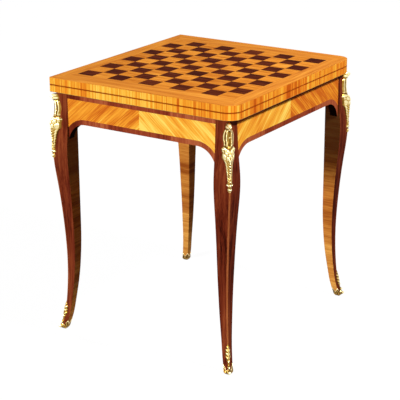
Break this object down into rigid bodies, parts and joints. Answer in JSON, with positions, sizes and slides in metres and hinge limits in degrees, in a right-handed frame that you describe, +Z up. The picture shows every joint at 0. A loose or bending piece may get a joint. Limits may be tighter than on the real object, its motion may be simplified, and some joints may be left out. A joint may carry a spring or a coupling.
{
  "type": "fold-over games table",
  "caption": "Games table on curved square-section legs, with an inlaid chequered board on a top that swivels and folds open, a storage well and gilt mounts.",
  "frame": {"origin": "on the floor, under the middle of the closed top", "axes": "+Z up, +X to the right along the front, +Y from the front to the back"},
  "size_m": [0.5908, 0.6624, 0.736],
  "materials": {
    "tulipwood_face": "polished tulipwood veneer",
    "tulipwood_edge": "polished cross-grained tulipwood veneer",
    "tulipwood_frieze": "polished tulipwood veneer, grain at a slant",
    "dark_rosewood": "polished dark rosewood veneer",
    "rosewood_band": "polished rosewood banding",
    "rosewood_leg": "polished rosewood veneer over beech",
    "string_wood": "polished light string",
    "carcass_oak": "planed oak, waxed",
    "gilt_bronze": "gilt bronze, chased and burnished",
    "hinge_brass": "drawn brass",
    "pivot_steel": "turned steel",
    "green_baize": "woollen baize",
    "glide_felt": "thin wool felt"
  },
  "bodies": {
    "base": {"leg_back_right": "rosewood_leg", "leg_front_right": "rosewood_leg", "leg_back_left": "rosewood_leg", "leg_front_left": "rosewood_leg", "rail_front": "carcass_oak", "rail_back": "carcass_oak", "rail_left": "carcass_oak", "rail_right": "carcass_oak", "knee_blocks": "carcass_oak", "tenon_pegs": "carcass_oak", "frieze_panels_front": "tulipwood_frieze", "frieze_panels_back": "tulipwood_frieze", "frieze_panels_left": "tulipwood_frieze", "frieze_panels_right": "tulipwood_frieze", "frieze_top_bands": "rosewood_band", "frieze_arch_bands": "rosewood_band", "arris_strings": "string_wood", "centre_bearer": "carcass_oak", "pivot_deck": "carcass_oak", "pivot_bush": "hinge_brass", "deck_cleats": "carcass_oak", "well_bottom": "carcass_oak", "well_cleats": "carcass_oak", "well_lining": "green_baize", "glide_felts": "glide_felt", "cleat_screws": "pivot_steel", "corner_mount_back_right": "gilt_bronze", "corner_mount_front_right": "gilt_bronze", "corner_mount_back_left": "gilt_bronze", "corner_mount_front_left": "gilt_bronze", "sabot_back_right": "gilt_bronze", "sabot_front_right": "gilt_bronze", "sabot_back_left": "gilt_bronze", "sabot_front_left": "gilt_bronze", "mount_pins": "gilt_bronze"},
    "lower_leaf": {"lower_core": "carcass_oak", "lower_edge_veneer": "tulipwood_edge", "lower_playing_border": "tulipwood_face", "lower_baize": "green_baize", "underside_veneer": "carcass_oak", "hinge_leaves_lower": "hinge_brass", "hinge_pins": "hinge_brass", "hinge_screws_lower": "hinge_brass", "pivot_plate": "pivot_steel", "pivot_stud": "pivot_steel", "pivot_washer": "pivot_steel", "pivot_nut": "pivot_steel", "pivot_screws": "pivot_steel", "stop_pin": "pivot_steel"},
    "upper_leaf": {"upper_core": "carcass_oak", "upper_edge_veneer": "tulipwood_edge", "board_border": "tulipwood_face", "dark_squares": "dark_rosewood", "light_squares": "tulipwood_face", "upper_playing_border": "tulipwood_face", "upper_baize": "green_baize", "hinge_leaves_upper": "hinge_brass", "hinge_screws_upper": "hinge_brass"}
  },
  "joints": [
    {"name": "top_swivel", "type": "hinge", "parent": "base", "child": "lower_leaf", "pos_m": [-0.147, 0.147, 0.6886], "axis": [0, 0, 1], "range_deg": [0, 90]},
    {"name": "leaf_fold", "type": "hinge", "parent": "lower_leaf", "child": "upper_leaf", "pos_m": [-0.29425, 0, 0.7158], "axis": [0, -1, 0], "range_deg": [0, 180]}
  ]
}
